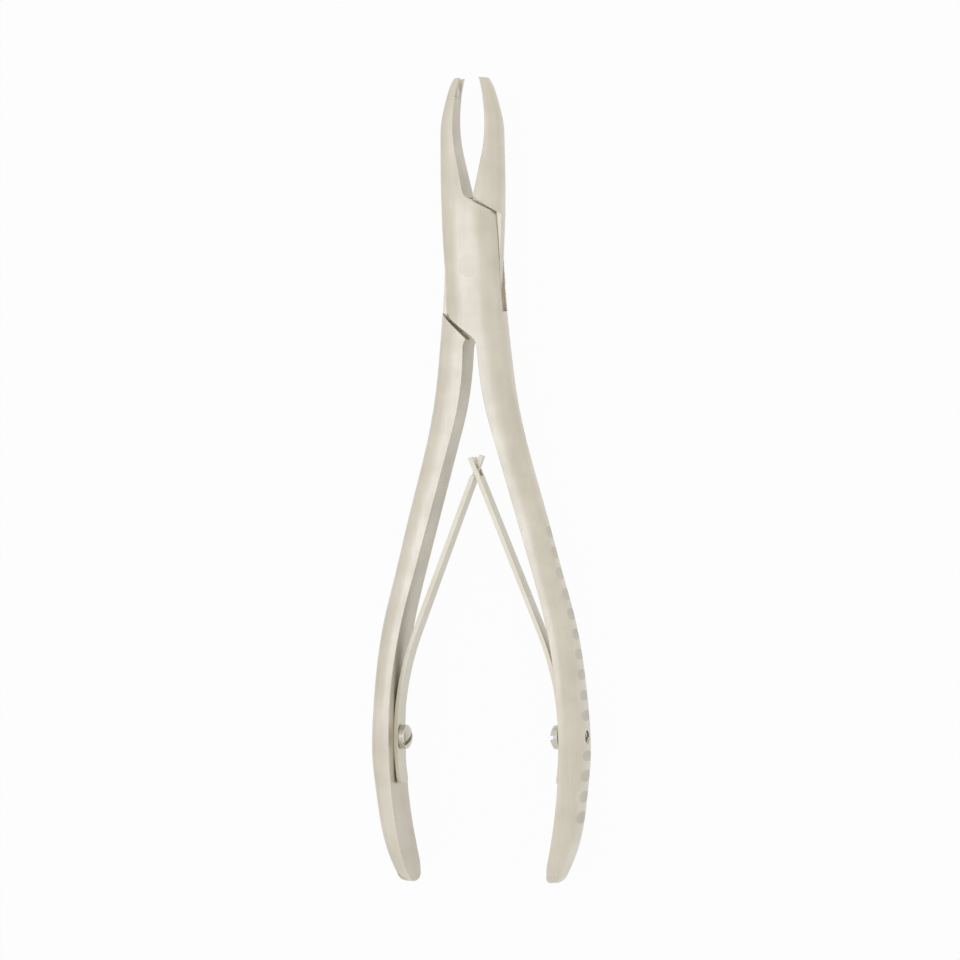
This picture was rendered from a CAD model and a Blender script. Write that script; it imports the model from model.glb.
import math

import bmesh
import bpy
from bpy.props import FloatProperty, FloatVectorProperty, IntProperty, PointerProperty
from mathutils import Matrix, Vector
from mathutils.bvhtree import BVHTree
from mathutils.geometry import area_tri
from mathutils.kdtree import KDTree


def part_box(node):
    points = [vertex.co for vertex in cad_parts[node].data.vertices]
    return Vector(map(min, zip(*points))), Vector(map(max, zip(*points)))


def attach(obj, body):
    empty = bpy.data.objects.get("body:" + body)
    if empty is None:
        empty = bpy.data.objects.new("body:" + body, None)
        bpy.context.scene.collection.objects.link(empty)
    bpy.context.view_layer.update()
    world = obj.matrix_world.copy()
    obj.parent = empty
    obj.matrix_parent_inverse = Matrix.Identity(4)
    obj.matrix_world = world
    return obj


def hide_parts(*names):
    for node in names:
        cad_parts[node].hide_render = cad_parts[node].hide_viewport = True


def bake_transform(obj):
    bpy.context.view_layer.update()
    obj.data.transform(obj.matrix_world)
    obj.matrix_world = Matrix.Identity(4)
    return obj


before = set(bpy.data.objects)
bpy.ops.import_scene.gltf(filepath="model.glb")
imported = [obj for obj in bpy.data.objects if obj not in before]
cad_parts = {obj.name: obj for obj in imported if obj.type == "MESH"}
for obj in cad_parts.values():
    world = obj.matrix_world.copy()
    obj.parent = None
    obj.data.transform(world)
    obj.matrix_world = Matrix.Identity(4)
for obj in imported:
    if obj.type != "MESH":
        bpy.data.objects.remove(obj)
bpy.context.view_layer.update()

bl_info = {
    "name": "Extraction Forceps",
    "version": (1, 0, 0),
    "blender": (4, 5, 0),
    "location": "3D Viewport > Sidebar > Forceps",
    "description": "Finishes the forceps' forged halves, pivot pin, leaf springs and screws",
    "category": "Object",
}

# Places read from the frame, in metres
PIN_LOW, PIN_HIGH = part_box("pivot_pin")
PIVOT = (PIN_LOW + PIN_HIGH) / 2
SIDES = {
    "forked": ("female_side", "male_side", 1),
    "tongued": ("male_side", "female_side", -1),
}

# One millimetre, and the distance under which points are one
MM = 0.001
MERGE = 0.002 * MM

# Polishing: faces that turn by less than an angle share one smooth surface, whose shading is the
# mean over a short reach, taken from triangles no longer than a step
POLISH_ANGLE = math.radians(25)
POLISH_REACH = 1.3 * MM
POLISH_STEP = 0.6 * MM

# Marks on faces, which the steel's shading reads
ROUNDING = "rounding"
RECESS = "recess"
GROUND = "ground"
RUBBED = "rubbed"

# How much of a face's direction is up or down, for an upright face at most and for the narrow
# face along a leaf's side at least
UPRIGHT_MOST = 0.05
LEAF_EDGE_LEAST = 0.6

# Finger grooves, as the handles have them when the instrument is closed: cylinders across the
# outer faces, in step above and below the screw, whose level is given from the pivot
HALF_OPENING = math.radians(2.85)
GROOVE_RADIUS = 3.2 * MM
GROOVE_SLACK = 0.012 * MM
GROOVE_PITCH = 4.0 * MM
GROOVES_BELOW = 4
GROOVES_ABOVE = 10
SCREW_LEVEL = -91.2 * MM
OUTSIDE = 50 * MM

# Crisp edges of the halves: the least turn and length of an edge that is rounded, and how far
# the rounding keeps from the pin, the beaks' toothed tips and the handles' rounded ends
HALF_CREASE = math.radians(42)
CRISP_LEAST = 0.3 * MM
PIN_SURROUND = 3 * MM
TOOTHED_LENGTH = 4 * MM
END_MARGIN = 0.4 * MM

# Handles' ends: rows of points, where the middle lies across the end, and the share of the width
# that is left at the very end
END_ROWS = 5
END_MIDDLE = 0.35
END_SHARE = 0.45

# Rounding on the leaves' and screws' edges, and the least turn of an edge that has it
LEAF_ROUND = 0.08 * MM
LEAF_CREASE = math.radians(50)
SCREW_ROUND = 0.1 * MM
SCREW_CREASE = math.radians(40)

# Thread in the screws' holes: radius at its crest, size of its three-cornered section, the
# pitch in such sizes at which the section isn't stretched, and the corners of one turn
THREAD_CREST = 1.08 * MM
THREAD_SECTION = 0.133 * MM
THREAD_PLAIN_PITCH = 2.1
THREAD_STEPS = 28


# Sizes and colours that a user would change


class FORCEPS_PG_finish(bpy.types.PropertyGroup):
    forged_colour: FloatVectorProperty(
        name="Forged Steel", description="Base colour of the two halves",
        default=(0.72, 0.667, 0.563), size=3, subtype="COLOR", min=0, max=1)
    shaded_colour: FloatVectorProperty(
        name="Shaded Steel", description="Colour of the steel in grain lines and recesses",
        default=(0.63, 0.58, 0.475), size=3, subtype="COLOR", min=0, max=1)
    spring_colour: FloatVectorProperty(
        name="Spring Steel", description="Base colour of the leaf springs",
        default=(0.64, 0.615, 0.53), size=3, subtype="COLOR", min=0, max=1)
    screw_colour: FloatVectorProperty(
        name="Screw Steel", description="Base colour of the spring screws",
        default=(0.63, 0.62, 0.56), size=3, subtype="COLOR", min=0, max=1)
    pin_colour: FloatVectorProperty(
        name="Pin Steel", description="Base colour of the riveted pin",
        default=(0.7, 0.648, 0.545), size=3, subtype="COLOR", min=0, max=1)
    edge_round: FloatProperty(
        name="Edge Rounding", description="Width of the rounding on the halves' crisp edges",
        default=0.14 * MM, min=0, unit="LENGTH", precision=5)
    end_round: FloatProperty(
        name="End Rounding", description="Length over which the handles' ends are rounded",
        default=1.2 * MM, min=0.1 * MM, unit="LENGTH", precision=5)
    slot_turn: FloatProperty(
        name="Slot Turn", description="Turn of the left screw about its length",
        default=math.radians(-76), unit="ROTATION")
    spring_step: FloatProperty(
        name="Spring Step", description="Longest stretch of a leaf between two rows of points",
        default=1.2 * MM, min=0.2 * MM, unit="LENGTH", precision=5)
    thread_pitch: FloatProperty(
        name="Thread Pitch", description="Distance between two turns of the screws' thread",
        default=0.37 * MM, min=0.1 * MM, unit="LENGTH", precision=5)
    thread_turns: IntProperty(
        name="Thread Turns", description="Turns of thread seen in each screw's hole",
        default=2, min=1)


class FORCEPS_PG_stage(bpy.types.PropertyGroup):
    view_turn: FloatProperty(
        name="View Turn", description="Turn of the camera round the instrument's length",
        default=math.radians(18), unit="ROTATION")
    view_roll: FloatProperty(
        name="View Roll", description="Roll of the camera about its own line of sight",
        default=math.radians(0.81), unit="ROTATION")
    view_distance: FloatProperty(
        name="View Distance", description="Distance from the camera to the instrument",
        default=0.87, min=0.1, unit="LENGTH")
    view_width: FloatProperty(
        name="View Width", description="Width of what the camera sees at the instrument",
        default=0.1846, min=0.01, unit="LENGTH", precision=4)
    view_aside: FloatProperty(
        name="View Aside", description="How far the picture's middle lies to the right of the axis",
        default=0.52 * MM, unit="LENGTH", precision=5)
    floor_size: FloatProperty(
        name="Floor Size", description="Length of each side of the floor",
        default=3, min=0.1, unit="LENGTH")


# Selecting and copying


def clear_selection():
    """Leave edit mode and deselect everything."""
    if bpy.context.mode != "OBJECT":
        bpy.ops.object.mode_set(mode="OBJECT")
    bpy.ops.object.select_all(action="DESELECT")


def take_up(piece):
    """Make a piece the only selected and active object."""
    clear_selection()
    piece.select_set(True)
    bpy.context.view_layer.objects.active = piece


def finished_copy(solid, name):
    """Merged copy of a solid's mesh, which the finished piece is made from."""
    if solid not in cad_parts:
        raise RuntimeError("no solid named " + solid)
    piece = bpy.data.objects.new(name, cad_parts[solid].data.copy())
    bpy.context.scene.collection.objects.link(piece)
    piece.data.materials.clear()
    take_up(piece)
    bpy.ops.object.mode_set(mode="EDIT")
    bpy.ops.mesh.select_all(action="SELECT")
    bpy.ops.mesh.remove_doubles(threshold=MERGE)
    bpy.ops.object.mode_set(mode="OBJECT")
    return piece


def round_edges(piece, width, least_angle, keep=None):
    """Round the edges that turn by more than an angle, where keep allows them, and mark the
    faces that this makes."""
    take_up(piece)
    bpy.ops.object.mode_set(mode="EDIT")
    bpy.ops.mesh.select_mode(type="EDGE")
    bpy.ops.mesh.select_all(action="DESELECT")
    mesh = bmesh.from_edit_mesh(piece.data)
    chosen = 0
    for edge in mesh.edges:
        if len(edge.link_faces) != 2 or edge.calc_face_angle(0) < least_angle:
            continue
        middle = (edge.verts[0].co + edge.verts[1].co) / 2
        if keep is None or keep(middle, edge):
            edge.select_set(True)
            chosen += 1
    if chosen == 0:
        raise RuntimeError("no edge to round on " + piece.name)
    bmesh.update_edit_mesh(piece.data)
    bpy.ops.mesh.bevel(offset=width, segments=2, affect="EDGES", clamp_overlap=False)
    mesh = bmesh.from_edit_mesh(piece.data)
    layers = mesh.faces.layers.int
    mark = layers.get(ROUNDING) or layers.new(ROUNDING)
    for face in mesh.faces:
        if face.select:
            face[mark] = 1
    bmesh.update_edit_mesh(piece.data)
    bpy.ops.object.mode_set(mode="OBJECT")


# Polishing: even shading over each smooth surface, and a soft turn across each rounded edge


def surface_of_faces(mesh):
    """Number of the smooth surface that each face belongs to; a rounded edge's faces have -1."""
    layers = mesh.faces.layers
    rounding = layers.int.get(ROUNDING)
    recess = layers.float.get(RECESS)
    surface = {}
    count = 0
    for first in mesh.faces:
        if rounding and first[rounding]:
            surface[first] = -1
        if first in surface:
            continue
        surface[first] = count
        pending = [first]
        while pending:
            face = pending.pop()
            for edge in face.edges:
                if len(edge.link_faces) != 2 or edge.calc_face_angle(0) > POLISH_ANGLE:
                    continue
                for other in edge.link_faces:
                    if other in surface or (rounding and other[rounding]):
                        continue
                    if recess and other[recess] != face[recess]:
                        continue
                    surface[other] = count
                    pending.append(other)
        count += 1
    return surface, count


def small_triangles(corners):
    """Middle and area of each of the small triangles that a triangle is halved into."""
    pending = [corners]
    while pending:
        triangle = pending.pop()
        lengths = [(triangle[place] - triangle[place - 1]).length for place in range(3)]
        longest = lengths.index(max(lengths))
        if lengths[longest] <= POLISH_STEP:
            yield sum(triangle, Vector()) / 3, area_tri(*triangle)
            continue
        middle = (triangle[longest] + triangle[longest - 1]) / 2
        for corner in (triangle[longest], triangle[longest - 1]):
            pending.append((corner, middle, triangle[longest - 2]))


def mean_normals(mesh, surface, count):
    """Normal of each smooth surface at each of its vertices: the mean over a short reach."""
    samples = [[] for _ in range(count)]
    for face in mesh.faces:
        if surface[face] < 0:
            continue
        corners = [vertex.co for vertex in face.verts]
        for place in range(1, len(corners) - 1):
            triangle = (corners[0], corners[place], corners[place + 1])
            for middle, area in small_triangles(triangle):
                samples[surface[face]].append((middle, face.normal * area))
    trees = []
    for points in samples:
        tree = KDTree(len(points))
        for index, (middle, _) in enumerate(points):
            tree.insert(middle, index)
        tree.balance()
        trees.append(tree)
    normals = {}
    for vertex in mesh.verts:
        for own in {surface[face] for face in vertex.link_faces} - {-1}:
            near = sum((face.normal for face in vertex.link_faces if surface[face] == own), Vector())
            mean = Vector()
            for _, index, distance in trees[own].find_range(vertex.co, POLISH_REACH):
                weighted = samples[own][index][1]
                if weighted.dot(near) > 0:
                    mean += weighted * (1 - (distance / POLISH_REACH) ** 2) ** 2
            normals[own, vertex.index] = (mean if mean.length > 0 else near).normalized()
    return normals


def polish(piece):
    """Shade each smooth surface of a piece by its mean normals."""
    take_up(piece)
    bpy.ops.object.shade_smooth()
    mesh = bmesh.new()
    mesh.from_mesh(piece.data)
    mesh.normal_update()
    surface, count = surface_of_faces(mesh)
    normals = mean_normals(mesh, surface, count)
    shading = []
    for face in mesh.faces:
        for vertex in face.verts:
            own = surface[face]
            if own < 0:
                beside = {surface[other] for other in vertex.link_faces} - {-1}
                own = beside.pop() if len(beside) == 1 else -1
            shading.append(normals[own, vertex.index] if own >= 0 else vertex.normal.copy())
    mesh.free()
    piece.data.normals_split_custom_set(shading)


def mark_grooves(piece, hand):
    """Mark the faces of a handle's finger grooves; hand is 1 for the handle on the right."""
    opened = Matrix.Rotation(hand * HALF_OPENING, 4, "Z")
    outward = opened @ Vector((hand, 0, 0))
    mesh = bmesh.new()
    mesh.from_mesh(piece.data)
    tree = BVHTree.FromBMesh(mesh)
    mark = mesh.faces.layers.float.new(RECESS)
    found = 0
    for step in range(-GROOVES_BELOW, GROOVES_ABOVE + 1):
        if step == 0:
            continue
        level = opened @ Vector((0, SCREW_LEVEL + step * GROOVE_PITCH, 0)) + PIVOT
        bottom = tree.ray_cast(level + outward * OUTSIDE, -outward)[0]
        if bottom is None:
            raise RuntimeError("no handle beside groove %d" % step)
        axis = bottom + outward * GROOVE_RADIUS
        for face in mesh.faces:
            inside = True
            for vertex in face.verts:
                reach = vertex.co - axis
                reach.z = 0
                if reach.length > GROOVE_RADIUS + GROOVE_SLACK:
                    inside = False
                    break
            if inside:
                face[mark] = 1
                found += 1
    mesh.to_mesh(piece.data)
    mesh.free()
    if found == 0:
        raise RuntimeError("no groove found on " + piece.name)


def mark_faces(piece, name, chosen):
    """Mark the faces of a piece that a test chooses."""
    mesh = bmesh.new()
    mesh.from_mesh(piece.data)
    mark = mesh.faces.layers.float.new(name)
    for face in mesh.faces:
        if chosen(face):
            face[mark] = 1
    mesh.to_mesh(piece.data)
    mesh.free()


def looks_inward(face):
    """Upright face that looks towards the other half, which is ground and not polished."""
    away = face.calc_center_median().x - PIVOT.x
    return abs(face.normal.z) < UPRIGHT_MOST and face.normal.x * away < 0


def is_leaf_edge(face):
    """Narrow face along a leaf's side, rubbed bright."""
    return abs(face.normal.z) > LEAF_EDGE_LEAST


# Materials


def node(tree, kind, place, **values):
    """Shader node at a place, with its inputs set by name."""
    made = tree.nodes.new(kind)
    made.location = place
    for name, value in values.items():
        made.inputs[name.replace("_", " ")].default_value = value
    return made


def steel_grain_group():
    """Dressing lines along the instrument, cloudy polish and fine pits, as colour, roughness and
    height over the surface. Marked faces are lighter or darker, and rougher or smoother."""
    group = bpy.data.node_groups.get("Steel Grain")
    if group:
        return group
    group = bpy.data.node_groups.new("Steel Grain", "ShaderNodeTree")
    face = group.interface
    for name, kind, value in (
        ("Bright", "NodeSocketColor", (0.6, 0.58, 0.53, 1)),
        ("Dull", "NodeSocketColor", (0.47, 0.45, 0.4, 1)),
        ("Line Scale", "NodeSocketFloat", 2200.0),
        ("Cloud Scale", "NodeSocketFloat", 160.0),
        ("Line Strength", "NodeSocketFloat", 0.3),
        ("Least Roughness", "NodeSocketFloat", 0.24),
        ("Most Roughness", "NodeSocketFloat", 0.34),
    ):
        socket = face.new_socket(name=name, in_out="INPUT", socket_type=kind)
        socket.default_value = value
    face.new_socket(name="Color", in_out="OUTPUT", socket_type="NodeSocketColor")
    face.new_socket(name="Roughness", in_out="OUTPUT", socket_type="NodeSocketFloat")
    face.new_socket(name="Height", in_out="OUTPUT", socket_type="NodeSocketFloat")
    link = group.links.new
    given = group.nodes.new("NodeGroupInput")
    given.location = (-900, 0)
    result = group.nodes.new("NodeGroupOutput")
    result.location = (1600, 0)
    place = node(group, "ShaderNodeTexCoord", (-1100, 300))
    stretch = node(group, "ShaderNodeMapping", (-900, 300))
    stretch.inputs["Scale"].default_value = (1, 0.03, 1)
    lines = node(group, "ShaderNodeTexNoise", (-700, 300), Detail=4, Roughness=0.6)
    cloud = node(group, "ShaderNodeTexNoise", (-700, 0), Detail=3, Roughness=0.5)
    pits = node(group, "ShaderNodeTexNoise", (-700, -300), Scale=5200, Detail=2)
    link(place.outputs["Object"], stretch.inputs["Vector"])
    link(stretch.outputs["Vector"], lines.inputs["Vector"])
    link(place.outputs["Object"], cloud.inputs["Vector"])
    link(place.outputs["Object"], pits.inputs["Vector"])
    link(given.outputs["Line Scale"], lines.inputs["Scale"])
    link(given.outputs["Cloud Scale"], cloud.inputs["Scale"])
    blend = node(group, "ShaderNodeMix", (-400, 150))
    blend.data_type = "FLOAT"
    link(given.outputs["Line Strength"], blend.inputs["Factor"])
    link(cloud.outputs["Fac"], blend.inputs["A"])
    link(lines.outputs["Fac"], blend.inputs["B"])
    spread = node(group, "ShaderNodeMapRange", (-200, 150))
    spread.inputs["From Min"].default_value = 0.35
    spread.inputs["From Max"].default_value = 0.65
    link(blend.outputs["Result"], spread.inputs["Value"])
    tint = node(group, "ShaderNodeMix", (0, 250))
    tint.data_type = "RGBA"
    link(spread.outputs["Result"], tint.inputs["Factor"])
    link(given.outputs["Dull"], tint.inputs["A"])
    link(given.outputs["Bright"], tint.inputs["B"])
    rough = node(group, "ShaderNodeMapRange", (0, 0))
    link(blend.outputs["Result"], rough.inputs["Value"])
    link(given.outputs["Most Roughness"], rough.inputs["To Min"])
    link(given.outputs["Least Roughness"], rough.inputs["To Max"])
    colour = tint.outputs["Result"]
    roughness = rough.outputs["Result"]
    for order, (mark, value, change) in enumerate((
        (RECESS, 0.87, 0.12),
        (GROUND, 0.89, 0.10),
        (ROUNDING, 1.08, -0.06),
        (RUBBED, 1.24, 0.15),
    )):
        across = 200 + 350 * order
        marked = node(group, "ShaderNodeAttribute", (across - 200, -450))
        marked.attribute_name = mark
        shade = node(group, "ShaderNodeMix", (across, 250))
        shade.data_type = "RGBA"
        shade.blend_type = "MULTIPLY"
        shade.inputs["B"].default_value = (value, value, value, 1)
        link(marked.outputs["Fac"], shade.inputs["Factor"])
        link(colour, shade.inputs["A"])
        colour = shade.outputs["Result"]
        wear = node(group, "ShaderNodeMath", (across, 0))
        wear.operation = "MULTIPLY_ADD"
        wear.inputs[1].default_value = change
        link(marked.outputs["Fac"], wear.inputs[0])
        link(roughness, wear.inputs[2])
        roughness = wear.outputs["Value"]
    link(colour, result.inputs["Color"])
    link(roughness, result.inputs["Roughness"])
    height = node(group, "ShaderNodeMath", (100, -250))
    height.operation = "MULTIPLY_ADD"
    height.inputs[1].default_value = 0.3
    link(pits.outputs["Fac"], height.inputs[0])
    link(lines.outputs["Fac"], height.inputs[2])
    link(height.outputs["Value"], result.inputs["Height"])
    return group


def steel(name, bright, dull, metallic=0.8, bump=0.08, **grain):
    """Satin steel with the shared grain; grain sets the group's inputs by name."""
    material = bpy.data.materials.get(name)
    if material:
        return material
    material = bpy.data.materials.new(name)
    material.use_nodes = True
    tree = material.node_tree
    shader = tree.nodes["Principled BSDF"]
    shader.inputs["Metallic"].default_value = metallic
    pattern = tree.nodes.new("ShaderNodeGroup")
    pattern.node_tree = steel_grain_group()
    pattern.location = (-500, 200)
    pattern.inputs["Bright"].default_value = (*bright, 1)
    pattern.inputs["Dull"].default_value = (*dull, 1)
    for label, value in grain.items():
        pattern.inputs[label.replace("_", " ")].default_value = value
    relief = node(tree, "ShaderNodeBump", (-250, -200), Strength=bump, Distance=0.00002)
    tree.links.new(pattern.outputs["Color"], shader.inputs["Base Color"])
    tree.links.new(pattern.outputs["Roughness"], shader.inputs["Roughness"])
    tree.links.new(pattern.outputs["Height"], relief.inputs["Height"])
    tree.links.new(relief.outputs["Normal"], shader.inputs["Normal"])
    return material


def dress(piece, material):
    """Give a piece its one material and the record's slot."""
    piece.data.materials.clear()
    piece.data.materials.append(material)


# The object's pieces


class FORCEPS_OT_halves(bpy.types.Operator):
    """Finish the two forged halves: merged faces, softened edges and satin steel"""
    bl_idname = "forceps.halves"
    bl_label = "Forged Halves"

    def execute(self, context):
        finish = context.scene.forceps_finish
        material = steel("Forged Steel", finish.forged_colour, finish.shaded_colour)
        low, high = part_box("female_half")
        toothed = high.y - TOOTHED_LENGTH
        rounded = low.y + finish.end_round + END_MARGIN

        def crisp(middle, edge):
            clear_of_pin = math.hypot(middle.x - PIVOT.x, middle.y - PIVOT.y) > PIN_SURROUND
            return clear_of_pin and rounded < middle.y < toothed and edge.calc_length() > CRISP_LEAST

        for half, hand in (("female", 1), ("male", -1)):
            piece = finished_copy(half + "_half", half + "_forging")
            self.round_end(piece, low.y, finish.end_round)
            round_edges(piece, finish.edge_round, HALF_CREASE, crisp)
            mark_grooves(piece, hand)
            mark_faces(piece, GROUND, looks_inward)
            polish(piece)
            dress(piece, material)
            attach(piece, half + "_side")
            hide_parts(half + "_half")
        return {"FINISHED"}

    def round_end(self, piece, low, height):
        """Draw the handle's end in, row by row, so that it is round in plan."""
        take_up(piece)
        bpy.ops.object.mode_set(mode="EDIT")
        for row in range(1, END_ROWS + 1):
            level = low + height * (row / END_ROWS) ** 2
            bpy.ops.mesh.select_all(action="SELECT")
            bpy.ops.mesh.bisect(plane_co=(0, level, 0), plane_no=(0, 1, 0))
        mesh = bmesh.from_edit_mesh(piece.data)
        capped = [vertex for vertex in mesh.verts if vertex.co.y < low + height]
        sides = [vertex.co.x for vertex in capped]
        inner, outer = sorted((min(sides), max(sides)), key=abs)
        middle = inner + (outer - inner) * END_MIDDLE
        for vertex in capped:
            down = 1 - (vertex.co.y - low) / height
            share = END_SHARE + (1 - END_SHARE) * math.sqrt(max(1 - down ** 2, 0))
            vertex.co.x = middle + (vertex.co.x - middle) * share
        bmesh.update_edit_mesh(piece.data)
        bpy.ops.object.mode_set(mode="OBJECT")


class FORCEPS_OT_pivot(bpy.types.Operator):
    """Finish the riveted pivot pin, flush with the box's cheeks"""
    bl_idname = "forceps.pivot"
    bl_label = "Pivot Pin"

    def execute(self, context):
        finish = context.scene.forceps_finish
        piece = finished_copy("pivot_pin", "riveted_pin")
        polish(piece)
        material = steel("Pin Steel", finish.pin_colour, finish.shaded_colour,
                         Least_Roughness=0.25, Most_Roughness=0.37)
        dress(piece, material)
        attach(piece, "female_side")
        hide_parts("pivot_pin")
        return {"FINISHED"}


class FORCEPS_OT_springs(bpy.types.Operator):
    """Finish the two leaf springs, divided along their length so that they can bend"""
    bl_idname = "forceps.springs"
    bl_label = "Leaf Springs"

    def execute(self, context):
        finish = context.scene.forceps_finish
        material = steel("Spring Steel", finish.spring_colour, finish.shaded_colour,
                         Line_Strength=0.15, Least_Roughness=0.24, Most_Roughness=0.36)
        for kind, (own, other, hand) in SIDES.items():
            solid = kind + "_leaf_spring"
            low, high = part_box(solid)
            piece = finished_copy(solid, kind + "_leaf")
            round_edges(piece, LEAF_ROUND, LEAF_CREASE)
            self.divide(piece, low.y, high.y, finish.spring_step)
            mark_faces(piece, RUBBED, is_leaf_edge)
            polish(piece)
            dress(piece, material)
            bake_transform(piece)
            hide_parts(solid)
        return {"FINISHED"}

    def divide(self, piece, low, high, step):
        """Cut rows of edges across the leaf, so that it bends in a smooth curve."""
        take_up(piece)
        bpy.ops.object.mode_set(mode="EDIT")
        bpy.ops.mesh.select_mode(type="VERT")
        rows = int((high - low) / step)
        for row in range(1, rows):
            level = low + (high - low) * row / rows
            bpy.ops.mesh.select_all(action="SELECT")
            bpy.ops.mesh.bisect(plane_co=(0, level, 0), plane_no=(0, 1, 0))
        bpy.ops.object.mode_set(mode="OBJECT")


class FORCEPS_OT_screws(bpy.types.Operator):
    """Finish the slotted spring screws and the thread seen in each handle's hole"""
    bl_idname = "forceps.screws"
    bl_label = "Spring Screws"

    def execute(self, context):
        finish = context.scene.forceps_finish
        forged = steel("Forged Steel", finish.forged_colour, finish.shaded_colour)
        material = steel("Screw Steel", finish.screw_colour, finish.shaded_colour,
                         Line_Scale=900, Cloud_Scale=700)
        for kind, (own, _, hand) in SIDES.items():
            solid = kind + "_spring_screw"
            low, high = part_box(solid)
            piece = finished_copy(solid, kind + "_screw")
            if hand < 0:
                self.turn(piece, hand, finish.slot_turn)
            round_edges(piece, SCREW_ROUND, SCREW_CREASE)
            polish(piece)
            dress(piece, material)
            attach(piece, own)
            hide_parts(solid)
            end = Vector((high.x if hand > 0 else low.x, (low.y + high.y) / 2, PIVOT.z))
            thread = self.hole_thread(kind + "_thread", end, hand, finish)
            dress(thread, forged)
            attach(thread, own)
        return {"FINISHED"}

    def turn(self, piece, hand, angle):
        """Turn a screw about its own length, which leaves all but its slot as it was."""
        mesh = bmesh.new()
        mesh.from_mesh(piece.data)
        end = max(mesh.faces, key=lambda face: face.calc_center_median().x * hand)
        along = end.normal.copy()
        level = end.verts[0].co.dot(along)
        ring = [vertex.co.copy() for vertex in mesh.verts
                if abs(vertex.co.dot(along) - level) < MERGE]
        mesh.free()
        middle = Matrix.Translation(sum(ring, Vector()) / len(ring))
        piece.data.transform(middle @ Matrix.Rotation(angle, 4, along) @ middle.inverted())

    def hole_thread(self, name, end, hand, finish):
        """Turns of thread between the screw's end and the mouth of its hole."""
        clear_selection()
        bpy.ops.mesh.primitive_circle_add(
            vertices=3, radius=THREAD_SECTION, fill_type="NGON",
            location=(THREAD_CREST + THREAD_SECTION, 0, 0),
            rotation=(math.radians(90), math.radians(-90), 0))
        thread = bpy.context.active_object
        thread.name = name
        bpy.ops.object.transform_apply(location=True, rotation=True, scale=True)
        thread.scale.z = finish.thread_pitch / (THREAD_PLAIN_PITCH * THREAD_SECTION)
        bpy.ops.object.transform_apply(location=False, rotation=False, scale=True)
        turns = thread.modifiers.new("turns", "SCREW")
        turns.steps = THREAD_STEPS
        turns.render_steps = THREAD_STEPS
        turns.iterations = finish.thread_turns
        turns.screw_offset = finish.thread_pitch
        turns.use_merge_vertices = True
        bpy.ops.object.modifier_apply(modifier="turns")
        bpy.ops.object.mode_set(mode="EDIT")
        bpy.ops.mesh.select_all(action="SELECT")
        bpy.ops.mesh.normals_make_consistent(inside=False)
        bpy.ops.object.mode_set(mode="OBJECT")
        to_hole = Matrix.Rotation(math.radians(90 * hand), 4, "Y")
        thread.data.transform(Matrix.Translation(end) @ to_hole)
        polish(thread)
        return thread


# Floor, light and camera


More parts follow.
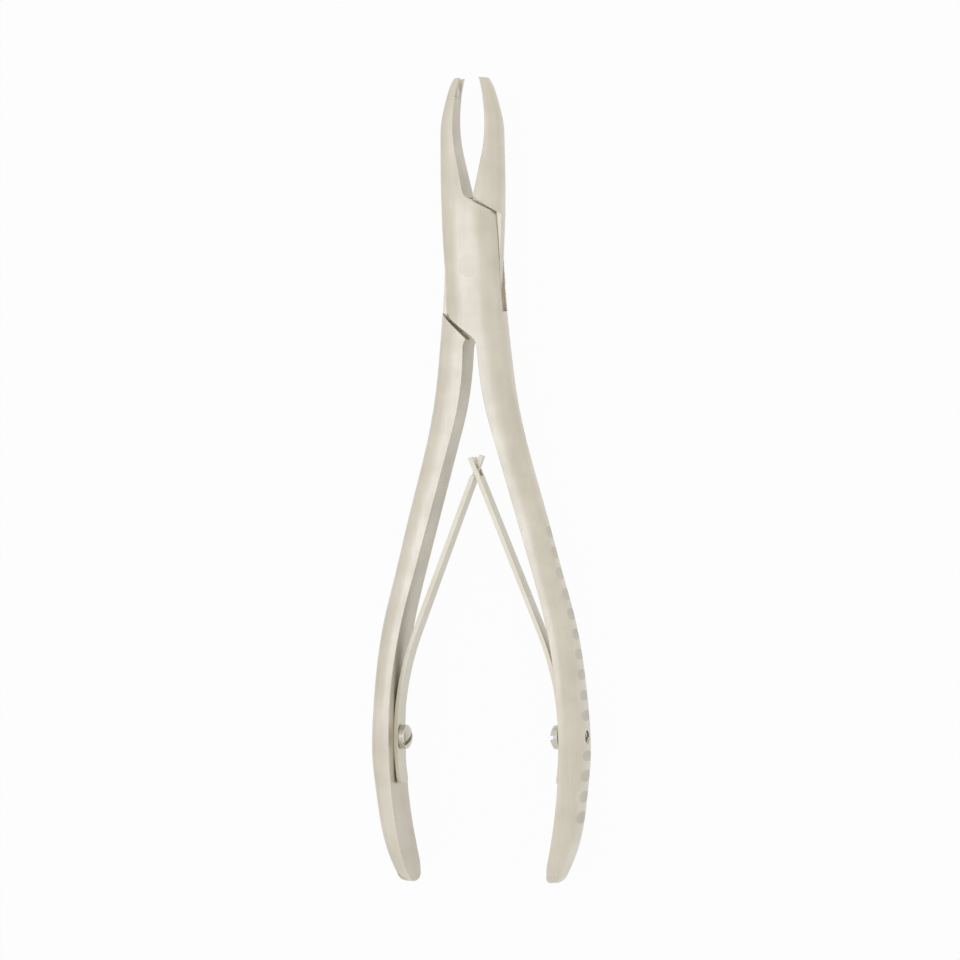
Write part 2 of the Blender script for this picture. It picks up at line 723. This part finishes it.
class FORCEPS_OT_stage(bpy.types.Operator):
    """Lay the pale floor, light the object evenly and set the camera"""
    bl_idname = "forceps.stage"
    bl_label = "Stage"

    def execute(self, context):
        stage = context.scene.forceps_stage
        self.floor(stage.floor_size)
        self.sky()
        self.lamps()
        self.camera(stage)
        context.scene.view_settings.view_transform = "Standard"
        return {"FINISHED"}

    def floor(self, size):
        clear_selection()
        bpy.ops.mesh.primitive_plane_add(size=size, location=(0, 0, -0.05 * MM))
        floor = bpy.context.active_object
        floor.name = "floor"
        material = bpy.data.materials.new("White Table")
        material.use_nodes = True
        tree = material.node_tree
        shader = tree.nodes["Principled BSDF"]
        shader.inputs["Base Color"].default_value = (0.86, 0.86, 0.86, 1)
        shader.inputs["Roughness"].default_value = 0.9
        output = tree.nodes["Material Output"]
        white = node(tree, "ShaderNodeEmission", (0, -300), Strength=1)
        share = node(tree, "ShaderNodeMath", (0, 300))
        share.operation = "MULTIPLY"
        share.inputs[1].default_value = 0.96
        mix = node(tree, "ShaderNodeMixShader", (300, 0))
        tree.links.new(self.seen_rays(tree), share.inputs[0])
        tree.links.new(share.outputs["Value"], mix.inputs[0])
        tree.links.new(shader.outputs["BSDF"], mix.inputs[1])
        tree.links.new(white.outputs["Emission"], mix.inputs[2])
        tree.links.new(mix.outputs["Shader"], output.inputs["Surface"])
        floor.data.materials.append(material)

    def sky(self):
        world = bpy.data.worlds.new("Plain Studio")
        world.use_nodes = True
        bpy.context.scene.world = world
        tree = world.node_tree
        background = tree.nodes["Background"]
        background.inputs["Color"].default_value = (0.95, 0.97, 1, 1)
        background.inputs["Strength"].default_value = 0.62
        white = node(tree, "ShaderNodeBackground", (0, -200), Strength=1)
        white.inputs["Color"].default_value = (1, 1, 1, 1)
        mix = node(tree, "ShaderNodeMixShader", (200, 0))
        tree.links.new(self.seen_rays(tree), mix.inputs[0])
        tree.links.new(background.outputs["Background"], mix.inputs[1])
        tree.links.new(white.outputs["Background"], mix.inputs[2])
        tree.links.new(mix.outputs["Shader"], tree.nodes["World Output"].inputs["Surface"])

    def seen_rays(self, tree):
        """One for the rays that show a surface: straight, mirrored or through glass."""
        rays = node(tree, "ShaderNodeLightPath", (-600, 400))
        seen = rays.outputs["Is Camera Ray"]
        for place, kind in enumerate(("Is Glossy Ray", "Is Transmission Ray")):
            either = node(tree, "ShaderNodeMath", (-400 + 200 * place, 400))
            either.operation = "MAXIMUM"
            tree.links.new(seen, either.inputs[0])
            tree.links.new(rays.outputs[kind], either.inputs[1])
            seen = either.outputs["Value"]
        return seen

    def lamps(self):
        """Two soft, cool lamps above the table; the stronger one lights the crests."""
        for name, place, size, power in (
            ("key_lamp", (-0.33, 0.08, 0.94), 0.3, 0.225),
            ("fill_lamp", (-0.75, 0.1, 0.65), 0.9, 0.14),
        ):
            clear_selection()
            bpy.ops.object.light_add(type="AREA", location=place)
            lamp = bpy.context.active_object
            lamp.name = name
            lamp.data.shape = "DISK"
            lamp.data.size = size
            lamp.data.energy = power
            lamp.data.color = (0.74, 0.78, 1)
            lamp.rotation_euler = (-Vector(place)).to_track_quat("-Z", "Y").to_euler()

    def camera(self, stage):
        sideways = Vector((math.cos(stage.view_turn), 0, -math.sin(stage.view_turn)))
        toward = Vector((math.sin(stage.view_turn), 0, math.cos(stage.view_turn)))
        upward = Vector((0, 1, 0))
        right = sideways * math.cos(stage.view_roll) - upward * math.sin(stage.view_roll)
        up = upward * math.cos(stage.view_roll) + sideways * math.sin(stage.view_roll)
        middle = Vector((0, 0, PIVOT.z)) + sideways * stage.view_aside
        clear_selection()
        bpy.ops.object.camera_add()
        camera = bpy.context.active_object
        camera.name = "camera"
        turned = Matrix((right, up, toward)).transposed().to_4x4()
        camera.matrix_world = Matrix.Translation(middle + toward * stage.view_distance) @ turned
        camera.data.lens = camera.data.sensor_width * stage.view_distance / stage.view_width
        camera.data.clip_start = 0.01
        camera.data.dof.use_dof = False
        bpy.context.scene.camera = camera


class FORCEPS_PT_panel(bpy.types.Panel):
    bl_idname = "FORCEPS_PT_panel"
    bl_label = "Extraction Forceps"
    bl_space_type = "VIEW_3D"
    bl_region_type = "UI"
    bl_category = "Forceps"

    def draw(self, context):
        for operator in OPERATORS:
            self.layout.operator(operator.bl_idname)
        for group in (context.scene.forceps_finish, context.scene.forceps_stage):
            box = self.layout.box()
            for name in group.__annotations__:
                box.prop(group, name)


OPERATORS = (
    FORCEPS_OT_halves,
    FORCEPS_OT_pivot,
    FORCEPS_OT_springs,
    FORCEPS_OT_screws,
    FORCEPS_OT_stage,
)
CLASSES = (FORCEPS_PG_finish, FORCEPS_PG_stage, *OPERATORS, FORCEPS_PT_panel)


def register():
    for item in CLASSES:
        bpy.utils.register_class(item)
    bpy.types.Scene.forceps_finish = PointerProperty(type=FORCEPS_PG_finish)
    bpy.types.Scene.forceps_stage = PointerProperty(type=FORCEPS_PG_stage)


def unregister():
    del bpy.types.Scene.forceps_stage
    del bpy.types.Scene.forceps_finish
    for item in reversed(CLASSES):
        bpy.utils.unregister_class(item)


def main():
    register()
    bpy.ops.forceps.halves()
    bpy.ops.forceps.pivot()
    bpy.ops.forceps.springs()
    bpy.ops.forceps.screws()
    bpy.ops.forceps.stage()


if __name__ == "__main__":
    main()
